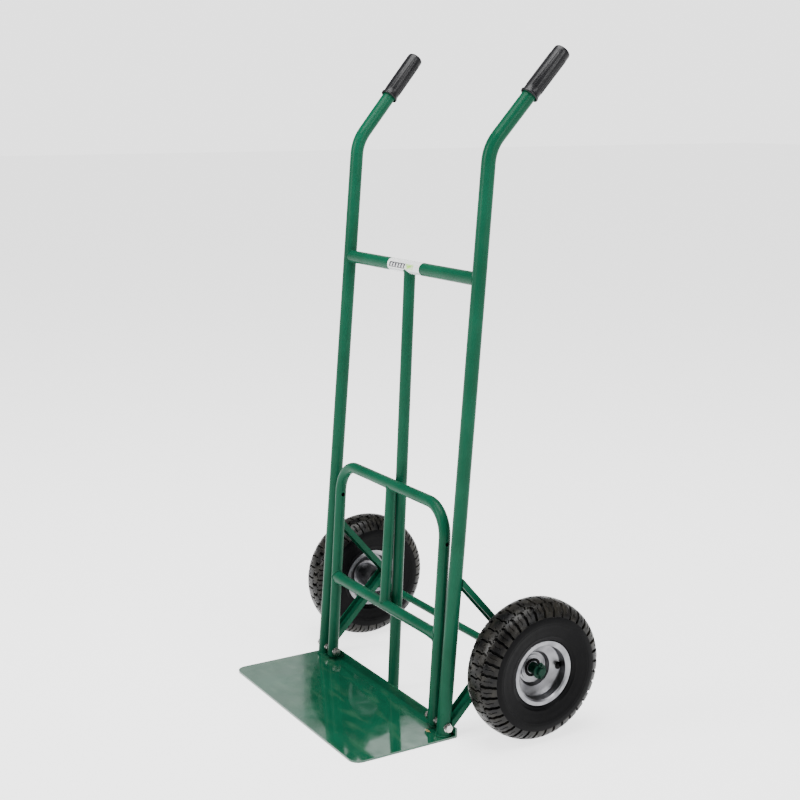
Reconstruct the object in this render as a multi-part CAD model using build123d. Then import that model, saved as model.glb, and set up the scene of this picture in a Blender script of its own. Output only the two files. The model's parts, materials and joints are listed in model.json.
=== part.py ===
from build123d import *
import os
from math import asin, atan2, cos, degrees, hypot, pi, radians, sin, tan

# A hand truck with two bent-back handles, a fixed toe plate, a folding toe
# frame and two pneumatic wheels.  Millimetres, +Z up.  The toe plate reaches
# towards -Y, the handles lean towards +Y, and "right" is the +X side.
# The origin is on the floor, under the centre of the bounding box.

# ---- overall sizes ----
WHEEL_RADIUS = 130.0
TYRE_WIDTH = 80.0
PLATE_REACH = 193.0           # front edge of the toe plate, ahead of the uprights' feet
AXLE_SETBACK = 141.0          # axle, behind the uprights' feet
DEPTH = PLATE_REACH + AXLE_SETBACK + WHEEL_RADIUS
FOOT_Y = PLATE_REACH - DEPTH / 2
AXLE_Y = FOOT_Y + AXLE_SETBACK

# ---- uprights, handles and crossbar ----
UPRIGHT_SPACING = 457.0
UPRIGHT_DIAMETER = 25.4
TUBE_WALL = 1.6
LEAN = 4.7                    # degrees the uprights lean back
BEND_HEIGHT = 1045.5
BEND_RADIUS = 75.0
HANDLE_ANGLE = 41.0           # degrees the handles lean back
HANDLE_SPLAY = 3.3            # degrees the handles spread sideways
HANDLE_LENGTH = 216.0         # from the bend's corner to the top of the grip
CROSSBAR_HEIGHT = 823.0
CROSSBAR_DIAMETER = 24.0
VENT_DIAMETER = 5.0
VENT_INSET = 34.5             # vent hole, in from the right upright's axis
LABEL_LENGTH = 112.0
LABEL_THICKNESS = 0.3
LABEL_X = -6.0
LABEL_BACK = 5.0              # how far behind the crossbar's axis the label wraps

# ---- grips ----
GRIP_LENGTH = 102.5
GRIP_WALL = 3.3
GRIP_COLLAR_STEP = 1.5        # collar's radius beyond the grip's
GRIP_COLLAR_LENGTH = 5.0
GRIP_CAP = 4.0                # rubber beyond the end of the handle tube
GRIP_EDGE = 5.0
FLUTE_COUNT = 16
FLUTE_DEPTH = 0.9
FLUTE_DIAMETER = 3.2
FLUTE_MARGIN = 14.0           # plain rubber at each end of the flutes

# ---- toe plate and centre tube ----
PLATE_OVERHANG = 17.5         # plate's side edge, outboard of the upright's axis
PLATE_THICKNESS = 4.0
PLATE_CORNER_RADIUS = 20.0
PLATE_BEND_RADIUS = 3.0
FLANGE_HEIGHT = 18.0
FLANGE_GAP = 2.8              # between the uprights' feet and the flange
CENTRE_TUBE_DIAMETER = 22.0
CENTRE_TUBE_BOTTOM = 3.0
WELD_GAP = 0.05               # between two parts that are welded along a line

# ---- braces and axle ----
BRACE_WIDTH = 28.0
BRACE_DEPTH = 10.7
BRACE_SHEET = 2.5
UPPER_BRACE_TOP = 291.0       # height where the back of the upper brace meets the upright
LOWER_BRACE_BOTTOM = 20.0     # height where the back of the lower brace meets the upright
KNEE_RISE = 29.0              # where the braces' backs meet, above the axle's centre
UPPER_BRACE_FOOT = 14.0       # how far the foot runs below the axle's centre
AXLE_DIAMETER = 15.0
AXLE_OVERHANG = 28.0          # axle end, outboard of the wheel's middle plane
AXLE_CHAMFER = 1.0
SPACER_WALL = 2.9
INNER_SPACER_LENGTH = 8.2     # sleeve between the brace and the wheel's hub
AXLE_WASHER_FLANGE = 6.0      # washer's rim beyond the axle
AXLE_WASHER_THICKNESS = 2.5
COTTER_DIAMETER = 3.0
COTTER_INSET = 5.0            # cotter hole, in from the end of the axle
COTTER_EYE_RADIUS = 3.4
RUNNING_CLEARANCE = 0.05      # radial, between the axle and the bearings
END_CLEARANCE = 0.3           # between a turning part and its fixed neighbour
SLIP_CLEARANCE = 0.1          # radial, between a fixed ring and the rod inside it

# ---- folding toe frame ----
HOOP_DIAMETER = 21.5
HOOP_WALL = 1.5
HOOP_CORNER_RADIUS = 57.0
HOOP_HEIGHT = 393.5           # pivot to the top rail's axis
HOOP_END = 12.0               # leg below the pivot
HOOP_LIFT = 5.5               # lower end of the leg, above the toe plate
MID_RAIL_HEIGHT = 156.6       # pivot to the middle rail's axis
CENTRE_BAR_DIAMETER = 20.0
LEG_HOLE_DIAMETER = 8.0
LEG_HOLE_HEIGHT = 330.0
RAIL_FLARE = 15.0             # half the height of the middle rail's flared end
RAIL_FLARE_LENGTH = 24.0
REST_CLEARANCE = 0.35         # between the top rail and the centre tube
SWING_CLEARANCE = 0.6         # between the legs' rounded ends and the flange as they swing
LEG_PLAY = 1.85               # between the legs and the hardware outboard of them
PIVOT_CLEARANCE = 0.075       # radial, between the bolt and the legs' holes

# ---- pivot bolts ----
BOLT_DIAMETER = 8.0
HEX_WIDTH = 13.0
HEAD_THICKNESS = 5.3
NUT_THICKNESS = 6.5
WASHER_DIAMETER = 16.0
WASHER_THICKNESS = 1.6
BOLT_HOLE_CLEARANCE = 0.2
BOLT_STICK_OUT = 2.5

# ---- wheels (positions along the axle are from the wheel's middle plane) ----
HUB_OUTER_END = -1.0
HUB_INNER_END = -55.0
HUB_WALL = 3.0
BEARING_DIAMETER = 42.0
BEARING_WIDTH = 13.0
BEARING_INSET = 0.5
BEAD_RADIUS = 51.5
LIP_HEIGHT = 8.5              # rim's lip beyond the bead seat
LIP_TUCK = 8.0                # rim's lip, in from the tyre's widest point
RIM_SHEET = 2.0
RIM_EDGE_RADIUS = 0.7
CARCASS_FOOT = 2.5            # tyre's inner end of its oval, beyond the bead seat
CARCASS_SQUARENESS = 2.4      # 2 is an ellipse, more is squarer
SIDE_WALL = 7.0
CROWN_WALL = 7.0
FOOT_WALL = 3.0
TUBE_SKIN = 2.5
BEAD_THICKNESS = 10.0
TREAD_GROOVE_WIDTH = 3.0
TREAD_GROOVE_DEPTH = 4.0
TREAD_GROOVES = (-0.325, -0.11, 0.11, 0.325)   # places across the tread, as shares of its width
VALVE_HOLE_DIAMETER = 11.3
VALVE_DIAMETER = 8.0
VALVE_OFFSET = 11.0
VALVE_RADIUS = 47.0
VALVE_SLOPE = 41.0            # degrees the valve points in towards the hub
VALVE_LENGTH = 4.0            # rubber stem outside the rim
VALVE_CAP_LENGTH = 9.0
VALVE_CAP_DIAMETER = 8.6

# ---- derived sizes and positions ----
HALF_SPACING = UPRIGHT_SPACING / 2
UPRIGHT_RADIUS = UPRIGHT_DIAMETER / 2
GRIP_DIAMETER = UPRIGHT_DIAMETER + 2 * GRIP_WALL
PLATE_WIDTH = UPRIGHT_SPACING + 2 * PLATE_OVERHANG
SPACER_DIAMETER = AXLE_DIAMETER + 2 * SPACER_WALL
AXLE_WASHER_DIAMETER = AXLE_DIAMETER + 2 * AXLE_WASHER_FLANGE
HUB_DIAMETER = BEARING_DIAMETER + 2 * HUB_WALL
LIP_RADIUS = BEAD_RADIUS + LIP_HEIGHT
LIP_FACE = TYRE_WIDTH / 2 - LIP_TUCK
CARCASS_BOTTOM = BEAD_RADIUS + CARCASS_FOOT
CARCASS_CENTRE = (WHEEL_RADIUS + CARCASS_BOTTOM) / 2
CARCASS_HALF = (WHEEL_RADIUS - CARCASS_BOTTOM) / 2
PIVOT_HEIGHT = PLATE_THICKNESS + HOOP_LIFT + HOOP_END
# a nut, two washers and some play lie between each upright and the leg beside it
LEG_GAP = NUT_THICKNESS + 2 * WASHER_THICKNESS + LEG_PLAY
HOOP_SPACING = UPRIGHT_SPACING - UPRIGHT_DIAMETER - HOOP_DIAMETER - 2 * LEG_GAP
PIVOT_Y = FOOT_Y + PIVOT_HEIGHT * tan(radians(LEAN))
FLANGE_FRONT = FOOT_Y + UPRIGHT_RADIUS + FLANGE_GAP
PLATE_BACK = FLANGE_FRONT + PLATE_THICKNESS
# the legs' lower ends are rounded about the pivot, to swing clear of the flange's top edge
FLANGE_EDGE = hypot(FLANGE_FRONT - PIVOT_Y, max(PIVOT_HEIGHT - FLANGE_HEIGHT, 0))
LEG_END_RADIUS = FLANGE_EDGE - SWING_CLEARANCE
CROSSBAR_Y = FOOT_Y + CROSSBAR_HEIGHT * tan(radians(LEAN))
# the centre tube's lower end touches the back of the flange
TUBE_FOOT_Y = PLATE_BACK + CENTRE_TUBE_DIAMETER / 2 + WELD_GAP
CENTRE_LEAN = degrees(atan2(CROSSBAR_Y - TUBE_FOOT_Y, CROSSBAR_HEIGHT - CENTRE_TUBE_BOTTOM))
BRACE_OUTER_X = HALF_SPACING + BRACE_WIDTH / 2
WHEEL_X = BRACE_OUTER_X + INNER_SPACER_LENGTH + END_CLEARANCE - HUB_INNER_END
AXLE_END = WHEEL_X + AXLE_OVERHANG
BLOCK_SIZE = 4 * WHEEL_X      # large enough to trim any part

X_AXIS = Vector(1, 0, 0)
UP = (Align.CENTER, Align.CENTER, Align.MIN)


def upright_axis(height):
    """Point on the right upright's axis at a height."""
    return Vector(HALF_SPACING, FOOT_Y + height * tan(radians(LEAN)), height)


def centre_axis(height):
    """Point on the centre tube's axis at a height."""
    back = (height - CENTRE_TUBE_BOTTOM) * tan(radians(CENTRE_LEAN))
    return Vector(0, TUBE_FOOT_Y + back, height)


def rest_tilt():
    """Angle at which the folding frame's top rail rests on the centre tube."""
    ahead = centre_axis(PIVOT_HEIGHT).Y - PIVOT_Y
    pivot_distance = ahead * cos(radians(CENTRE_LEAN))
    rail_distance = (HOOP_DIAMETER + CENTRE_TUBE_DIAMETER) / 2 + REST_CLEARANCE
    return CENTRE_LEAN + degrees(asin((pivot_distance - rail_distance) / HOOP_HEIGHT))


HOOP_TILT = rest_tilt()
HANDLE_DIRECTION = Vector(
    sin(radians(HANDLE_SPLAY)),
    sin(radians(HANDLE_ANGLE)) * cos(radians(HANDLE_SPLAY)),
    cos(radians(HANDLE_ANGLE)) * cos(radians(HANDLE_SPLAY)),
)


def hoop_point(x, along):
    """Point in the folding frame's plane, a distance along it from the pivot."""
    tilt = radians(HOOP_TILT)
    return Vector(x, PIVOT_Y + along * sin(tilt), PIVOT_HEIGHT + along * cos(tilt))


def rod(start, end, diameter):
    """Round solid bar between two points."""
    axis = end - start
    section = Plane(origin=start, z_dir=axis) * Circle(diameter / 2)
    return extrude(section, amount=axis.length)


def pipe(start, end, diameter, wall):
    """Round hollow tube between two points, open at both ends."""
    axis = end - start
    section = Circle(diameter / 2) - Circle(diameter / 2 - wall)
    return extrude(Plane(origin=start, z_dir=axis) * section, amount=axis.length)


def ring(x_start, x_end, outer, inner, y, z):
    """Flat ring along X between two positions."""
    return pipe(Vector(x_start, y, z), Vector(x_end, y, z), outer, (outer - inner) / 2)


def hexagon_bar(x_start, x_end, y, z):
    """Hexagonal bar along X with the bolt's width across flats."""
    plane = Plane(origin=(x_start, y, z), x_dir=(0, 1, 0), z_dir=(1, 0, 0))
    section = plane * RegularPolygon(HEX_WIDTH / 2, 6, major_radius=False)
    return extrude(section, amount=x_end - x_start)


def rounded_path(corners, radius):
    """Straight runs through the corners, joined by arcs of one radius."""
    edges = []
    start = corners[0]
    for before, corner, after in zip(corners, corners[1:], corners[2:]):
        back = (before - corner).normalized()
        ahead = (after - corner).normalized()
        half = radians(back.get_angle(ahead)) / 2
        first = corner + back * (radius / tan(half))
        last = corner + ahead * (radius / tan(half))
        middle = corner + (back + ahead).normalized() * (radius / sin(half) - radius)
        edges.append(Edge.make_line(start, first))
        edges.append(Edge.make_three_point_arc(first, middle, last))
        start = last
    edges.append(Edge.make_line(start, corners[-1]))
    return Wire(edges)


def swept_pipe(path, diameter, wall):
    """Bent hollow tube along a path."""
    section = Circle(diameter / 2) - Circle(diameter / 2 - wall)
    return sweep(Plane(origin=path @ 0, z_dir=path % 0) * section, path=path)


def mirrored(shape):
    """The left-hand twin of a right-hand shape."""
    return mirror(shape, about=Plane.YZ)


def block_below(height):
    """Large block whose top face is at a height, used to trim tubes level."""
    block = Box(BLOCK_SIZE, BLOCK_SIZE, BLOCK_SIZE, align=(Align.CENTER, Align.CENTER, Align.MAX))
    return Pos(0, 0, height) * block


def upright_rod(height, diameter):
    """Cylinder along X through the right upright at a height."""
    middle = upright_axis(height)
    reach = X_AXIS * UPRIGHT_DIAMETER
    return rod(middle - reach, middle + reach, diameter)


def make_upright():
    """Right upright with its bent-back handle, standing on the toe plate."""
    corner = upright_axis(BEND_HEIGHT)
    end = corner + HANDLE_DIRECTION * (HANDLE_LENGTH - GRIP_CAP)
    path = rounded_path([upright_axis(-PLATE_THICKNESS), corner, end], BEND_RADIUS)
    tube = swept_pipe(path, UPRIGHT_DIAMETER, TUBE_WALL)
    tube -= block_below(PLATE_THICKNESS)
    return tube - upright_rod(PIVOT_HEIGHT, BOLT_DIAMETER + 2 * BOLT_HOLE_CLEARANCE)


def upright_core():
    """Solid cylinder that fills the right upright, used to cope other parts."""
    return rod(upright_axis(-PLATE_THICKNESS), upright_axis(BEND_HEIGHT - BEND_RADIUS), UPRIGHT_DIAMETER)


def make_grip():
    """Right rubber grip: fluted sleeve with a collar and a closed, rounded end."""
    end = upright_axis(BEND_HEIGHT) + HANDLE_DIRECTION * HANDLE_LENGTH
    start = end - HANDLE_DIRECTION * GRIP_LENGTH
    plane = Plane(origin=start, x_dir=(1, 0, 0), z_dir=HANDLE_DIRECTION)
    body = Cylinder(GRIP_DIAMETER / 2, GRIP_LENGTH, align=UP)
    body = fillet(body.edges().sort_by(Axis.Z)[-1], GRIP_EDGE)
    flute_length = GRIP_LENGTH - 2 * FLUTE_MARGIN
    flute = Cylinder(FLUTE_DIAMETER / 2, flute_length, align=UP)
    reach = GRIP_DIAMETER / 2 + FLUTE_DIAMETER / 2 - FLUTE_DEPTH
    for index in range(FLUTE_COUNT):
        turn = Rot(0, 0, 360 / FLUTE_COUNT * index)
        body -= turn * Pos(reach, 0, FLUTE_MARGIN) * flute
    body += Cylinder(GRIP_DIAMETER / 2 + GRIP_COLLAR_STEP, GRIP_COLLAR_LENGTH, align=UP)
    body -= Cylinder(UPRIGHT_DIAMETER / 2, GRIP_LENGTH - GRIP_CAP, align=UP)
    return plane * body


def make_crossbar():
    """Tube between the uprights, with a small vent hole on top."""
    start = Vector(-HALF_SPACING, CROSSBAR_Y, CROSSBAR_HEIGHT)
    end = Vector(HALF_SPACING, CROSSBAR_Y, CROSSBAR_HEIGHT)
    bar = pipe(start, end, CROSSBAR_DIAMETER, TUBE_WALL)
    core = upright_core()
    bar -= core
    bar -= mirrored(core)
    vent = Vector(HALF_SPACING - VENT_INSET, CROSSBAR_Y, CROSSBAR_HEIGHT)
    return bar - rod(vent, vent + Vector(0, 0, CROSSBAR_DIAMETER), VENT_DIAMETER)


def make_label():
    """Blank sheet wrapped round the front and top of the crossbar."""
    start = LABEL_X - LABEL_LENGTH / 2
    outer = CROSSBAR_DIAMETER + 2 * LABEL_THICKNESS
    wrap = ring(start, start + LABEL_LENGTH, outer, CROSSBAR_DIAMETER, CROSSBAR_Y, CROSSBAR_HEIGHT)
    behind = Box(2 * LABEL_LENGTH, outer, 2 * outer, align=(Align.CENTER, Align.MIN, Align.CENTER))
    wrap -= Pos(LABEL_X, CROSSBAR_Y + LABEL_BACK, CROSSBAR_HEIGHT) * behind
    return wrap - rod(centre_axis(0), centre_axis(CROSSBAR_HEIGHT), CENTRE_TUBE_DIAMETER)


def make_centre_tube():
    """Tube from the crossbar down behind the toe plate's flange."""
    tube = pipe(centre_axis(0), centre_axis(CROSSBAR_HEIGHT), CENTRE_TUBE_DIAMETER, TUBE_WALL)
    tube -= block_below(CENTRE_TUBE_BOTTOM)
    start = Vector(-HALF_SPACING, CROSSBAR_Y, CROSSBAR_HEIGHT)
    return tube - rod(start, start + X_AXIS * UPRIGHT_SPACING, CROSSBAR_DIAMETER)


def make_toe_plate():
    """Steel plate with rounded front corners and a low flange folded up behind."""
    front = FOOT_Y - PLATE_REACH
    outline = Polyline(
        (front, 0),
        (PLATE_BACK, 0),
        (PLATE_BACK, FLANGE_HEIGHT),
        (FLANGE_FRONT, FLANGE_HEIGHT),
        (FLANGE_FRONT, PLATE_THICKNESS),
        (front, PLATE_THICKNESS),
        close=True,
    )
    section = make_face(outline)
    heel = section.vertices().sort_by_distance((PLATE_BACK, 0, 0))[0]
    section = fillet(heel, PLATE_BEND_RADIUS)
    plane = Plane(origin=(-PLATE_WIDTH / 2, 0, 0), x_dir=(0, 1, 0), z_dir=(1, 0, 0))
    plate = extrude(plane * section, amount=PLATE_WIDTH)
    corners = plate.edges().filter_by(Axis.Z).group_by(Axis.Y)[0]
    return fillet(corners, PLATE_CORNER_RADIUS)


def brace_lines():
    """Back-face lines of the two braces in the side view, each as (point, direction)."""
    upper_y = upright_axis(UPPER_BRACE_TOP).Y + UPRIGHT_RADIUS / cos(radians(LEAN))
    lower_y = upright_axis(LOWER_BRACE_BOTTOM).Y + UPRIGHT_RADIUS / cos(radians(LEAN))
    knee = Vector(AXLE_Y + AXLE_DIAMETER / 2 + BRACE_SHEET, WHEEL_RADIUS + KNEE_RISE)
    upper = Vector(upper_y, UPPER_BRACE_TOP)
    lower = Vector(lower_y, LOWER_BRACE_BOTTOM)
    return (upper, (knee - upper).normalized()), (lower, (knee - lower).normalized())


def upper_brace_outline(near, far):
    """Side outline of the upper brace between two depths below its back face."""
    (top, down), _ = brace_lines()
    inward = Vector(down.Y, -down.X)
    back_y = AXLE_Y + AXLE_DIAMETER / 2 + BRACE_SHEET
    bottom = WHEEL_RADIUS - UPPER_BRACE_FOOT
    start = top - down * BRACE_WIDTH
    points = []
    for depth in (near, far):
        edge = start + inward * depth
        foot_y = back_y - depth
        knee = edge + down * ((foot_y - edge.X) / down.X)
        points.append([edge, knee, Vector(foot_y, bottom)])
    loop = points[0] + points[1][::-1]
    return make_face(Polyline(*[(point.X, point.Y) for point in loop], close=True))


def lower_brace_outline(near, far):
    """Side outline of the lower brace between two depths above its back face."""
    _, (bottom, up) = brace_lines()
    inward = Vector(-up.Y, up.X)
    start = bottom - up * BRACE_WIDTH
    length = (AXLE_Y + AXLE_DIAMETER - start.X) / up.X
    loop = [start + inward * near, start + up * length + inward * near]
    loop += [start + up * length + inward * far, start + inward * far]
    return make_face(Polyline(*[(point.X, point.Y) for point in loop], close=True))


def channel(outline, width):
    """Extrude a side outline to a width centred on the right upright."""
    plane = Plane(origin=(HALF_SPACING - width / 2, 0, 0), x_dir=(0, 1, 0), z_dir=(1, 0, 0))
    return extrude(plane * outline, amount=width)


def make_upper_brace():
    """Pressed channel from the right upright down to the back of the axle."""
    brace = channel(upper_brace_outline(0, BRACE_DEPTH), BRACE_WIDTH)
    pocket_width = BRACE_WIDTH - 2 * BRACE_SHEET
    brace -= channel(upper_brace_outline(BRACE_SHEET, 2 * BRACE_DEPTH), pocket_width)
    brace -= ahead_of_upright()
    brace -= upright_core()
    return brace - axle_rod()


def make_lower_brace():
    """Pressed channel from the foot of the right upright up to the upper brace."""
    brace = channel(lower_brace_outline(0, BRACE_DEPTH), BRACE_WIDTH)
    pocket_width = BRACE_WIDTH - 2 * BRACE_SHEET
    brace -= channel(lower_brace_outline(BRACE_SHEET, 2 * BRACE_DEPTH), pocket_width)
    brace -= channel(upper_brace_outline(-BRACE_WIDTH, BRACE_DEPTH), 2 * BRACE_WIDTH)
    brace -= ahead_of_upright()
    return brace - upright_core()


def ahead_of_upright():
    """Block from just behind the pivot's washers forwards, which keeps the braces clear of them."""
    block = Box(HALF_SPACING, BLOCK_SIZE, BLOCK_SIZE, align=(Align.CENTER, Align.MAX, Align.CENTER))
    behind = WASHER_DIAMETER / 2 + BOLT_HOLE_CLEARANCE
    return Pos(*upright_axis(0)) * Rot(-LEAN, 0, 0) * Pos(0, behind, 0) * block


def axle_rod():
    """Plain cylinder the size of the axle."""
    start = Vector(-AXLE_END, AXLE_Y, WHEEL_RADIUS)
    return rod(start, start + X_AXIS * (2 * AXLE_END), AXLE_DIAMETER)


def cotter_x():
    """Position of the right cotter pin along the axle."""
    return AXLE_END - COTTER_INSET


def make_axle():
    """Round bar from wheel to wheel with a cross hole near each end."""
    axle = axle_rod()
    ends = axle.edges().filter_by(GeomType.CIRCLE)
    axle = chamfer(ends, AXLE_CHAMFER)
    for x in (cotter_x(), -cotter_x()):
        middle = Vector(x, AXLE_Y, WHEEL_RADIUS)
        reach = Vector(0, 0, AXLE_DIAMETER)
        axle -= rod(middle - reach, middle + reach, COTTER_DIAMETER)
    return axle


def make_cotter_pin():
    """Right split pin: straight shank, eye on top and one leg turned aside below."""
    middle = Vector(cotter_x(), AXLE_Y, WHEEL_RADIUS)
    top = middle + Vector(0, 0, AXLE_DIAMETER / 2 + 1.5)
    bottom = middle - Vector(0, 0, AXLE_DIAMETER / 2 + 6)
    pin = rod(bottom, top, COTTER_DIAMETER)
    eye = Torus(COTTER_EYE_RADIUS, COTTER_DIAMETER * 0.45)
    pin += Pos(*(top + Vector(0, 0, COTTER_EYE_RADIUS))) * Rot(0, 90, 0) * eye
    bend = middle - Vector(0, 0, AXLE_DIAMETER / 2 + 2)
    return pin + rod(bend, bend + Vector(0, 6, -4), COTTER_DIAMETER * 0.8)


def make_inner_spacer():
    """Right sleeve on the axle between the brace and the wheel's hub."""
    end = BRACE_OUTER_X + INNER_SPACER_LENGTH
    bore = AXLE_DIAMETER + 2 * SLIP_CLEARANCE
    return ring(BRACE_OUTER_X, end, SPACER_DIAMETER, bore, AXLE_Y, WHEEL_RADIUS)


def washer_x():
    """Inboard face of the right axle washer."""
    return cotter_x() - COTTER_DIAMETER / 2 - AXLE_WASHER_THICKNESS


def make_outer_spacer():
    """Right sleeve on the axle between the wheel's hub and the washer."""
    start = WHEEL_X + HUB_OUTER_END + END_CLEARANCE
    bore = AXLE_DIAMETER + 2 * SLIP_CLEARANCE
    return ring(start, washer_x(), SPACER_DIAMETER, bore, AXLE_Y, WHEEL_RADIUS)


def make_axle_washer():
    """Right washer held by the cotter pin."""
    bore = AXLE_DIAMETER + 2 * SLIP_CLEARANCE
    end = washer_x() + AXLE_WASHER_THICKNESS
    return ring(washer_x(), end, AXLE_WASHER_DIAMETER, bore, AXLE_Y, WHEEL_RADIUS)


def pivot_stack():
    """Positions along X of the right pivot's hardware, from outside to inside."""
    outer = HALF_SPACING + UPRIGHT_RADIUS
    inner = HALF_SPACING - UPRIGHT_RADIUS
    leg_inner = (HOOP_SPACING - HOOP_DIAMETER) / 2
    lock_nut = inner - WASHER_THICKNESS
    end_washer = leg_inner - END_CLEARANCE
    end_nut = end_washer - WASHER_THICKNESS
    return {
        "head": outer + WASHER_THICKNESS,
        "washers": [outer + WASHER_THICKNESS, inner, lock_nut - NUT_THICKNESS, end_washer],
        "lock_nut": lock_nut,
        "end_nut": end_nut,
        "bolt_end": end_nut - NUT_THICKNESS - BOLT_STICK_OUT,
    }


def make_pivot_bolt():
    """Right hexagon-headed bolt through the upright and the folding frame's leg."""
    stack = pivot_stack()
    head = hexagon_bar(stack["head"], stack["head"] + HEAD_THICKNESS, PIVOT_Y, PIVOT_HEIGHT)
    end = Vector(stack["bolt_end"], PIVOT_Y, PIVOT_HEIGHT)
    start = Vector(stack["head"] + 1, PIVOT_Y, PIVOT_HEIGHT)
    return head + rod(end, start, BOLT_DIAMETER)


def make_nut(x_outer):
    """Right hexagon nut on the pivot bolt, its outboard face at x_outer."""
    nut = hexagon_bar(x_outer - NUT_THICKNESS, x_outer, PIVOT_Y, PIVOT_HEIGHT)
    start = Vector(x_outer - 2 * NUT_THICKNESS, PIVOT_Y, PIVOT_HEIGHT)
    return nut - rod(start, start + X_AXIS * (3 * NUT_THICKNESS), BOLT_DIAMETER)


def make_pivot_washers():
    """The four washers on the right pivot bolt."""
    bore = BOLT_DIAMETER + 2 * SLIP_CLEARANCE
    washers = []
    for x in pivot_stack()["washers"]:
        washers.append(ring(x - WASHER_THICKNESS, x, WASHER_DIAMETER, bore, PIVOT_Y, PIVOT_HEIGHT))
    return Compound(children=washers)


def make_hoop():
    """Bent tube of the folding frame: two legs and the top rail."""
    half = HOOP_SPACING / 2
    corners = [
        hoop_point(half, -HOOP_END),
        hoop_point(half, HOOP_HEIGHT),
        hoop_point(-half, HOOP_HEIGHT),
        hoop_point(-half, -HOOP_END),
    ]
    hoop = swept_pipe(rounded_path(corners, HOOP_CORNER_RADIUS), HOOP_DIAMETER, HOOP_WALL)
    pivot_hole = BOLT_DIAMETER + 2 * PIVOT_CLEARANCE
    hoop -= rod(hoop_point(-HOOP_SPACING, 0), hoop_point(HOOP_SPACING, 0), pivot_hole)
    start = hoop_point(-HOOP_SPACING, LEG_HOLE_HEIGHT)
    end = hoop_point(HOOP_SPACING, LEG_HOLE_HEIGHT)
    hoop -= rod(start, end, LEG_HOLE_DIAMETER)
    rounding = rod(hoop_point(-HOOP_SPACING, 0), hoop_point(HOOP_SPACING, 0), 2 * LEG_END_RADIUS)
    return hoop - (block_below(PIVOT_HEIGHT) - rounding)


def hoop_leg_core(side):
    """Solid cylinder that fills one leg of the folding frame."""
    x = side * HOOP_SPACING / 2
    return rod(hoop_point(x, 0), hoop_point(x, HOOP_HEIGHT / 2), HOOP_DIAMETER)


def rail_axis_plane(x, along):
    """Plane square to X at a point of the folding frame, its X running up the frame."""
    up = hoop_point(0, 1) - hoop_point(0, 0)
    return Plane(origin=hoop_point(x, along), x_dir=up, z_dir=X_AXIS)


def make_mid_rail():
    """Tube between the folding frame's legs, flared where it meets them."""
    half = HOOP_SPACING / 2
    flare_start = half - HOOP_DIAMETER / 2 - RAIL_FLARE_LENGTH
    rail = rod(hoop_point(-half, MID_RAIL_HEIGHT), hoop_point(half, MID_RAIL_HEIGHT), HOOP_DIAMETER)
    round_end = rail_axis_plane(flare_start, MID_RAIL_HEIGHT) * Circle(HOOP_DIAMETER / 2)
    flared_end = rail_axis_plane(half, MID_RAIL_HEIGHT) * Ellipse(RAIL_FLARE, HOOP_DIAMETER / 2)
    flare = loft([round_end, flared_end])
    rail += flare
    rail += mirrored(flare)
    inner = HOOP_DIAMETER - 2 * HOOP_WALL
    rail -= rod(hoop_point(-half, MID_RAIL_HEIGHT), hoop_point(half, MID_RAIL_HEIGHT), inner)
    for side in (1, -1):
        rail -= hoop_leg_core(side)
    return rail


def make_centre_bar():
    """Upright tube in the middle of the folding frame."""
    start = hoop_point(0, MID_RAIL_HEIGHT)
    end = hoop_point(0, HOOP_HEIGHT)
    bar = pipe(start, end, CENTRE_BAR_DIAMETER, HOOP_WALL)
    for along in (MID_RAIL_HEIGHT, HOOP_HEIGHT):
        across = X_AXIS * CENTRE_BAR_DIAMETER
        bar -= rod(hoop_point(0, along) - across, hoop_point(0, along) + across, HOOP_DIAMETER)
    return bar


def turned(section):
    """Revolve a section drawn as (along the axle, radius) into the right wheel."""
    return Pos(WHEEL_X, AXLE_Y, WHEEL_RADIUS) * revolve(section, Axis.X)


def tube_section(skin):
    """Oval section of the inner tube, a distance inside its outer skin."""
    centre = CARCASS_CENTRE - (CROWN_WALL - FOOT_WALL) / 2
    half_width = TYRE_WIDTH / 2 - SIDE_WALL
    half_height = CARCASS_HALF - (CROWN_WALL + FOOT_WALL) / 2
    return Pos(0, centre) * Ellipse(half_width - skin, half_height - skin)


def carcass_point(angle):
    """Point on the tyre's squared oval outline, an angle round from its crown."""
    power = 2 / CARCASS_SQUARENESS
    across = TYRE_WIDTH / 2 * abs(sin(angle)) ** power
    return across, CARCASS_CENTRE + CARCASS_HALF * abs(cos(angle)) ** power


def tyre_outline():
    """Outside outline of the tyre's section, from bead to bead."""
    steps = 4
    side = [carcass_point(pi / 2 * index / steps) for index in range(steps, -1, -1)]
    side.insert(0, (LIP_FACE + 1, LIP_RADIUS + 4))
    across = side + [(-x, r) for x, r in side[-2::-1]]
    seat = LIP_FACE - RIM_SHEET
    crown = Spline(*across)
    base = Polyline(
        across[-1],
        (-seat, LIP_RADIUS + 0.5),
        (-seat, BEAD_RADIUS + 1),
        (-seat + 1, BEAD_RADIUS),
        (seat - 1, BEAD_RADIUS),
        (seat, BEAD_RADIUS + 1),
        (seat, LIP_RADIUS + 0.5),
        across[0],
    )
    return make_face([*crown.edges(), *base.edges()])


def crown_height(across):
    """Radius of the tread at a distance across from the tyre's middle."""
    share = (abs(across) / (TYRE_WIDTH / 2)) ** CARCASS_SQUARENESS
    return CARCASS_CENTRE + CARCASS_HALF * (1 - share) ** (1 / CARCASS_SQUARENESS)


def make_tyre():
    """Hollow tyre with grooves round the tread."""
    section = tyre_outline()
    section -= tube_section(0)
    opening = 2 * (LIP_FACE - RIM_SHEET - BEAD_THICKNESS)
    section -= Pos(0, BEAD_RADIUS) * Rectangle(opening, CARCASS_HALF)
    for share in TREAD_GROOVES:
        across = share * TYRE_WIDTH
        groove = Rectangle(TREAD_GROOVE_WIDTH, 2 * TREAD_GROOVE_DEPTH)
        section -= Pos(across, crown_height(across)) * groove
    return turned(section)


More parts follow.
